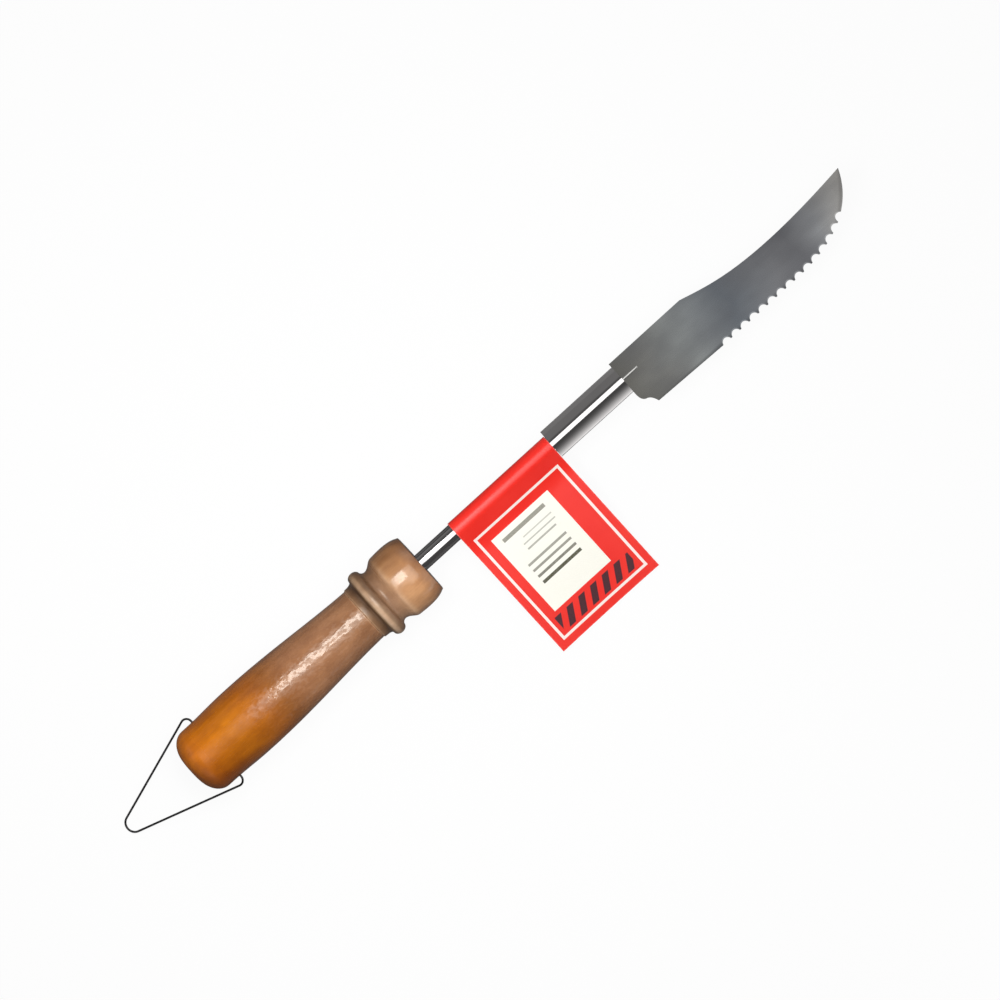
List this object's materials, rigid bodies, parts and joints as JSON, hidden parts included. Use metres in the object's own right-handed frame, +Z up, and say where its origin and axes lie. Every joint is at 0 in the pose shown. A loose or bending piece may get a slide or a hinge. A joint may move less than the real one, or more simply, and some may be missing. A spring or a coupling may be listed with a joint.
{
  "type": "barbecue knife",
  "caption": "Long barbecue knife with a scalloped blade on a chromed shank, a turned wooden handle, a wire hanging loop and a folded sales card on the shank.",
  "frame": {"origin": "on the table that the knife lies on, under the middle of its bounding box", "axes": "+X along the knife from the butt to the point, +Y across it towards the spine, +Z up from the table"},
  "size_m": [0.4412, 0.0938, 0.0354],
  "materials": {
    "blade_steel": "satin, faintly clouded",
    "chrome_plate": "mirror",
    "lacquered_wood": "stained and gloss lacquered",
    "dark_wire": "drawn, dark",
    "red_card": "printed, satin",
    "white_paper": "matt"
  },
  "bodies": {
    "knife": {"blade": "blade_steel", "neck_sleeve": "chrome_plate", "shank_tube": "chrome_plate", "handle": "lacquered_wood"},
    "loop": {"hanging_loop": "dark_wire"},
    "card": {"tag_card": "red_card", "tag_sticker": "white_paper"}
  },
  "joints": [
    {"name": "loop_swing", "type": "hinge", "parent": "knife", "child": "loop", "pos_m": [-0.16456, 0.02665, 0.0177], "axis": [0, 1, 0], "range_deg": [-129, 162]},
    {"name": "card_turn", "type": "hinge", "parent": "knife", "child": "card", "pos_m": [0.0104, 0.02665, 0.0177], "axis": [1, 0, 0], "continuous": true}
  ]
}
